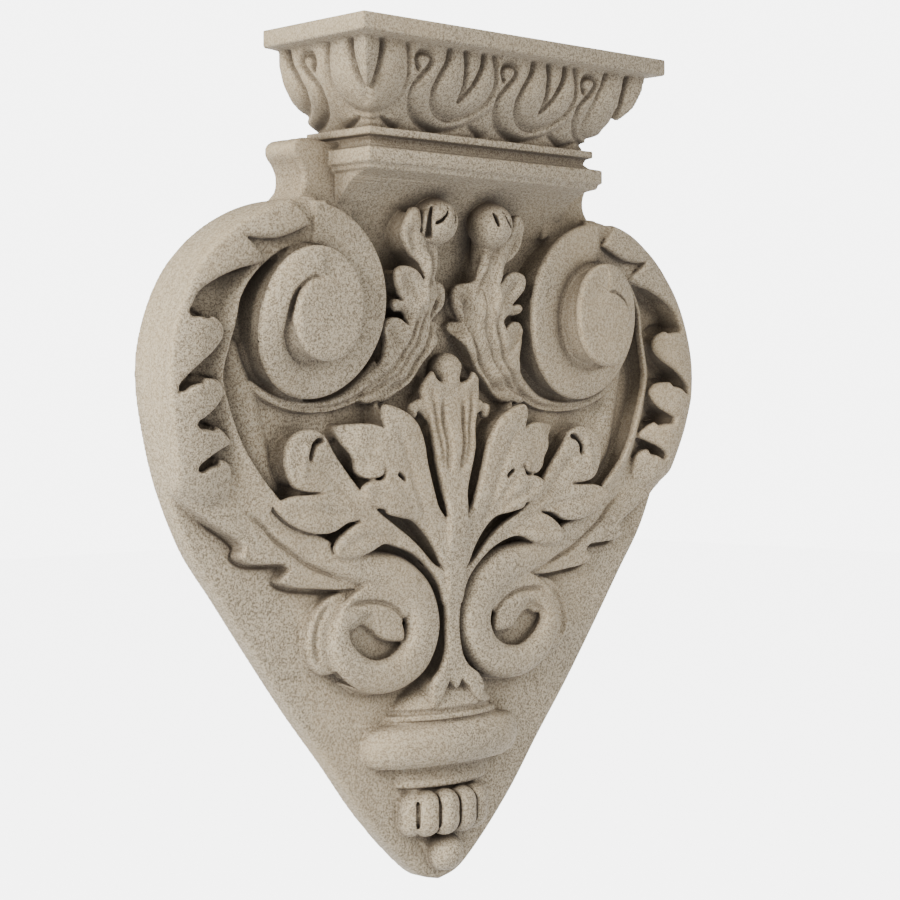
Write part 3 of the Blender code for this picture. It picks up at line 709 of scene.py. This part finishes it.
def blendLower(a, b, k):
    gap = np.clip(0.5 + 0.5 * (b - a) / k, 0, 1)
    return b * (1 - gap) + a * gap - k * gap * (1 - gap)


def slopeOf(field):
    slopeX, slopeZ = np.gradient(field, cell)
    return np.sqrt(1 + slopeX**2 + slopeZ**2)


def addBar(volume, places, hollow=False):
    # joins a round bar to the stone, or bores its shape out, on both sides
    for side in (1, -1):
        line = np.array(places) * (side, 1, 1, 1)
        spread = line[:, 3].max() + carving["barMargin"]
        low, high = line[:, :3].min(0) - spread, line[:, :3].max(0) + spread
        block = tuple(slice(*np.searchsorted(ruler, (low[k], high[k])))
                      for k, ruler in enumerate((fullX, reachY, level)))
        here = np.stack(np.meshgrid(fullX[block[0]], reachY[block[1]], level[block[2]], indexing="ij"), -1)
        gap = np.full(here.shape[:3], 1e9)
        for a, b in zip(line, line[1:] if len(line) > 1 else line):
            run = b[:3] - a[:3]
            t = np.clip(((here - a[:3]) @ run) / (run @ run + 1e-9), 0, 1)
            away = np.linalg.norm(here - a[:3] - t[..., None] * run, axis=-1)
            gap = np.minimum(gap, away - a[3] - t * (b[3] - a[3]))
        joined = blendLower(gap, volume[block], carving["barBlend"])
        volume[block] = np.maximum(volume[block], -gap) if hollow else joined


def buildVolume():
    full = np.concatenate([height[::-1], height])
    rimFull = np.concatenate([rim[::-1], rim])
    low = undercut(full, carving["undercut"])
    tall = fade(-undercut(-full, carving["tallReach"]), *carving["tallFrom"])
    tall = tall * fade(level, *carving["tallLevels"]) * fade(rimFull, *carving["tallRim"])
    low = full + (low - full) * tall
    steep, steepLow = slopeOf(full), slopeOf(low)
    crest = -undercut(-full, carving["lipReach"])
    under = crest - carving["lip"]
    grooved = (full > crest - carving["grooves"]) & (steep < carving["grooveSlope"])
    under = np.where(grooved, np.minimum(under, full - carving["skin"]), under)
    slope = np.sqrt(1 + np.gradient(frontInsets, cell) ** 2)
    sideSlope = np.sqrt(1 + np.gradient(sideInsets, cell) ** 2)
    volume = np.empty((len(fullX), len(reachY), len(level)), np.float32)
    y = reachY[:, None]
    edgeRound = plate["edge"]
    sideGroove = sum(deep * np.exp(-(((y - out) / wide) ** 2)) for out, wide, deep in plate["sideLines"])
    sideGroove = sideGroove * fade(level, *plate["sideLevels"])[None, :]
    for i, x in enumerate(fullX):
        lip = np.maximum((y - full[i]) / steep[i], under[i] - y)
        relief = blendLower((y - low[i]) / steepLow[i], lip, carving["lipBlend"])
        edge = np.maximum(-rimFull[i][None, :] * np.ones_like(relief), sideGroove - rimFull[i][None, :])
        body = np.maximum(relief, edge)
        both = (relief > -edgeRound) & (edge > -edgeRound)
        body = np.where(both, np.hypot(relief + edgeRound, edge + edgeRound) - edgeRound, body)
        front = (y - cap["reach"] + frontInsets - frontPattern[i]) / slope
        side = (abs(x) - cap["half"] + sideInsets - sidePattern) / sideSlope
        ends = np.maximum(capZ, neck["foot"] + neck["overlap"] - capZ)[None, :]
        capBody = np.maximum(np.maximum(front, side), ends)
        body[:, capStart:] = blendLower(capBody, body[:, capStart:], carving["bodyBlend"])
        volume[i] = body
    for places in bars:
        addBar(volume, places)
    for places in holes:
        addBar(volume, places, hollow=True)
    return np.maximum(volume, -reachY[None, :, None])


volume = buildVolume()
print("volume filled", volume.shape)
grid = openvdb.FloatGrid(carving["shell"] + 0.5)
grid.copyFromArray(np.clip(volume, -carving["shell"], carving["shell"]), tolerance=0.0)
points, triangles, quads = grid.convertToPolygons(isovalue=0.0, adaptivity=0.0)
del volume
points = np.asarray(points, float)
print("meshed", len(points), "points", len(quads), "quads")

stoneX = fullX[0] + points[:, 0] * cell
stoneY = -(reachY[0] + points[:, 1] * cell)
stoneZ = level[0] + points[:, 2] * cell
corners = np.column_stack([stoneX * minute, np.minimum(stoneY, 0) * minute, stoneZ * minute + topOfCap])
mesh = bpy.data.meshes.new("corbelStone")
faces = [tuple(q)[::-1] for q in quads] + [tuple(t)[::-1] for t in triangles]
mesh.from_pydata(corners.tolist(), [], faces)
mesh.update()
stone = bpy.data.objects.new("corbelStone", mesh)
bpy.context.scene.collection.objects.link(stone)
meshed = sum(len(p.vertices) - 2 for p in mesh.polygons)
trim = stone.modifiers.new("trim", "DECIMATE")
trim.ratio = min(1.0, carving["mostTriangles"] / meshed)
bpy.context.view_layer.objects.active = stone
stone.select_set(True)
bpy.ops.object.modifier_apply(modifier="trim")
stone.data.shade_smooth()
print("stone has", len(stone.data.polygons), "faces")


# shader sockets with operators
class Wire:
    def __init__(self, tree, socket):
        self.tree = tree
        self.socket = socket

    def math(self, operation, *values):
        return addNode(self.tree, "ShaderNodeMath", {"operation": operation}, dict(enumerate(values)))

    def __add__(self, other):
        return self.math("ADD", self, other)

    def __radd__(self, other):
        return self.math("ADD", other, self)

    def __sub__(self, other):
        return self.math("SUBTRACT", self, other)

    def __rsub__(self, other):
        return self.math("SUBTRACT", other, self)

    def __mul__(self, other):
        return self.math("MULTIPLY", self, other)

    def __rmul__(self, other):
        return self.math("MULTIPLY", other, self)


def addNode(tree, kind, settings=None, inputs=None, out=0):
    node = tree.nodes.new(kind)
    for name, value in (settings or {}).items():
        if name == "stops":
            ramp = node.color_ramp
            while len(ramp.elements) < len(value):
                ramp.elements.new(0.5)
            for element, (place, colour) in zip(ramp.elements, value):
                element.position = place
                element.color = colour
        else:
            setattr(node, name, value)
    for name, value in (inputs or {}).items():
        if isinstance(value, Wire):
            tree.links.new(value.socket, node.inputs[name])
        else:
            node.inputs[name].default_value = value
    return Wire(tree, node.outputs[out])


def ranged(tree, value, low, high, most):
    # from 0 at the low value to most at the high one
    return addNode(tree, "ShaderNodeMapRange", {},
                   {"Value": value, "From Min": low, "From Max": high, "To Max": most})


def mixColour(tree, factor, under, over):
    return addNode(tree, "ShaderNodeMix", {"data_type": "RGBA"}, {"Factor": factor, 6: under, 7: over}, 2)


sandstone = {
    "stops": ((0.42, (0.18, 0.14, 0.088, 1)), (0.57, (0.60, 0.495, 0.345, 1))),  # dark and light grain
    "cool": (0.36, 0.345, 0.285, 1),
    "coolRange": (0.5, 0.72, 0.35),  # ranges are low value, high value, most
    "warm": (0.54, 0.405, 0.235, 1),
    "warmRange": (0.45, 0.7, 0.4),
    # painted shade: a near-black brown laid into creases, recesses, under undercut edges and under the cap,
    # by ambient occlusion
    "hollow": (0.062, 0.046, 0.030, 1),
    "litFlankWeathering": (0.66, 0.52, 0.30, 1),  # painted light: a lighter, yellower tint on the open side that faces the key lamp, partly yellowish weathering
    "litFlankFacing": (-0.95, -0.2, 0.25),
    "litFlankRange": (0.75, 1.35, 0.32),
    "litFlankOpen": (0.8, 0.98, 1.0),
    "litFlankCloud": 0.6,
    "paintedCapShade": (0.15, 0.12, 0.08, 1),  # painted shade: darker towards the top, under the cap
    "capShadeLevels": (0.03, 0.2, 0.26),
    "capShadeCloud": 0.1,
    "paintedShadeReach": (0.014, 0.06),
    "paintedShadeMost": (0.82, 0.72),
    "paintedShadeRange": (0.3, 0.85),
    "specular": 0.25,
    "bump": 0.4,
    "roughness": 0.92,
    "noises": (("grain", 1300.0, 2.0), ("speck", 640.0, 2.0), ("cloud", 9.0, 4.0)),  # name, scale, detail
    "noiseRoughness": 0.65,
    "toneShares": (0.6, 0.4),
    "bumpHeight": 0.0006,
}


def makeSandstone():
    material = bpy.data.materials.new("sandstone")
    material.use_nodes = True
    tree = material.node_tree
    shader = tree.nodes["Principled BSDF"]
    place = addNode(tree, "ShaderNodeTexCoord", out=3)
    noise = {}
    for name, scale, detail in sandstone["noises"]:
        inputs = {"Vector": place, "Scale": scale, "Detail": detail, "Roughness": sandstone["noiseRoughness"]}
        noise[name] = addNode(tree, "ShaderNodeTexNoise", {}, inputs)
    grainShare, speckShare = sandstone["toneShares"]
    tone = noise["grain"] * grainShare + noise["speck"] * speckShare
    grain = addNode(tree, "ShaderNodeValToRGB", {"stops": sandstone["stops"]}, {0: tone})
    tinted = mixColour(tree, ranged(tree, noise["cloud"], *sandstone["warmRange"]), grain, sandstone["warm"])
    tinted = mixColour(tree, ranged(tree, noise["speck"], *sandstone["coolRange"]), tinted, sandstone["cool"])
    # painted shade: the stone darkens with height towards the cap, broken a little by cloud noise
    upward = addNode(tree, "ShaderNodeSeparateXYZ", {}, {0: place}, 2)
    capShadeMask = ranged(tree, upward + noise["cloud"] * sandstone["capShadeCloud"], *sandstone["capShadeLevels"])
    tinted = mixColour(tree, capShadeMask, tinted, sandstone["paintedCapShade"])
    # painted light: the open side turned towards the key lamp is mixed towards the lighter flank tint, partly
    # weathering
    facing = addNode(tree, "ShaderNodeNewGeometry", out=1)
    turned = addNode(tree, "ShaderNodeVectorMath", {"operation": "DOT_PRODUCT"},
                     {0: facing, 1: sandstone["litFlankFacing"]}, 1)
    litFlankShare = ranged(tree, turned + noise["cloud"] * sandstone["litFlankCloud"], *sandstone["litFlankRange"])
    near, wide = [addNode(tree, "ShaderNodeAmbientOcclusion", {"samples": 8}, {"Distance": reach}, 1)
                  for reach in sandstone["paintedShadeReach"]]
    litFlankShare = litFlankShare * ranged(tree, wide, *sandstone["litFlankOpen"])
    colour = mixColour(tree, litFlankShare, tinted, sandstone["litFlankWeathering"])
    # painted shade: the colour goes towards the dark hollow colour where ambient occlusion finds the stone
    # closed in, at a near and a wide reach
    low, high = sandstone["paintedShadeRange"]
    for openness, most in zip((near, wide), sandstone["paintedShadeMost"]):
        shade = addNode(tree, "ShaderNodeMapRange", {},
                        {"Value": openness, "From Min": low, "From Max": high, "To Min": most, "To Max": 0.0})
        colour = mixColour(tree, shade, colour, sandstone["hollow"])
    tree.links.new(colour.socket, shader.inputs["Base Color"])
    shader.inputs["Roughness"].default_value = sandstone["roughness"]
    shader.inputs["Specular IOR Level"].default_value = sandstone["specular"]
    bump = addNode(tree, "ShaderNodeBump", {},
                   {"Strength": sandstone["bump"], "Distance": sandstone["bumpHeight"], "Height": tone})
    tree.links.new(bump.socket, shader.inputs["Normal"])
    return material


stone.data.materials.clear()
stone.data.materials.append(makeSandstone())
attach(stone, "root")
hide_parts("corbel")
print("stone dressed")

# studio
studio = {
    "lens": 86.516,
    "sensor": 36,
    "cameraAt": (-0.68798, -0.73322, -0.16480),  # in thousands of minutes, from the top of the cap
    "turn": (43.854, -1.052, -0.2685),
    "floorDrop": 0.28,
    "floorReach": 6.0,
    "skyLight": 0.74,
    "skySeen": 6.0,
    "lamps": (
        ("key", (-1.8, -0.4, 0.55), 0.8, 56.0),
        ("fill", (0.4, -1.7, 0.9), 1.4, 11.0),
    ),
}


def makeCamera():
    unit = minute / 0.001
    x, y, z = studio["cameraAt"]
    yaw, pitch, roll = [math.radians(a) for a in studio["turn"]]
    forward = Vector((math.sin(yaw), math.cos(yaw), 0))
    right = Vector((math.cos(yaw), -math.sin(yaw), 0))
    up = Vector((0, 0, 1))
    ahead = forward * math.cos(pitch) + up * math.sin(pitch)
    above = up * math.cos(pitch) - forward * math.sin(pitch)
    beside = right * math.cos(roll) + above * math.sin(roll)
    above = above * math.cos(roll) - right * math.sin(roll)
    camera = bpy.data.cameras.new("camera")
    camera.lens = studio["lens"]
    camera.sensor_width = studio["sensor"]
    view = bpy.data.objects.new("camera", camera)
    bpy.context.scene.collection.objects.link(view)
    turned = Matrix((beside, above, -ahead)).transposed().to_4x4()
    view.matrix_world = Matrix.Translation((x * unit, y * unit, z * unit + topOfCap)) @ turned
    bpy.context.scene.camera = view


def makeFloor():
    low, wide = cadBox[0][2] - studio["floorDrop"], studio["floorReach"]
    floorMesh = bpy.data.meshes.new("floor")
    floorMesh.from_pydata([(-wide, -wide, low), (wide, -wide, low), (wide, wide, low), (-wide, wide, low)],
                          [], [(0, 1, 2, 3)])
    floor = bpy.data.objects.new("floor", floorMesh)
    bpy.context.scene.collection.objects.link(floor)
    paint = bpy.data.materials.new("paleFloor")
    paint.use_nodes = True
    shader = paint.node_tree.nodes["Principled BSDF"]
    shader.inputs["Base Color"].default_value = (0.9, 0.9, 0.9, 1)
    shader.inputs["Roughness"].default_value = 1.0
    shader.inputs["Emission Color"].default_value = (1, 1, 1, 1)
    shader.inputs["Emission Strength"].default_value = studio["skySeen"] - 1
    floorMesh.materials.append(paint)
    floor.visible_diffuse = False  # its glow stays off the stone


def makeLights():
    world = bpy.data.worlds.new("studio")
    world.use_nodes = True
    tree = world.node_tree
    seen = addNode(tree, "ShaderNodeLightPath", out=0)
    strength = seen * (studio["skySeen"] - studio["skyLight"]) + studio["skyLight"]
    tree.nodes["Background"].inputs[0].default_value = (1, 1, 1, 1)
    tree.links.new(strength.socket, tree.nodes["Background"].inputs[1])
    bpy.context.scene.world = world
    for name, at, size, power in studio["lamps"]:
        lamp = bpy.data.lights.new(name, "AREA")
        lamp.size = size
        lamp.energy = power
        light = bpy.data.objects.new(name, lamp)
        light.location = at
        light.rotation_euler = (Vector(at) * -1).to_track_quat("-Z", "Y").to_euler()
        bpy.context.scene.collection.objects.link(light)


makeCamera()
makeFloor()
makeLights()
print("studio set")
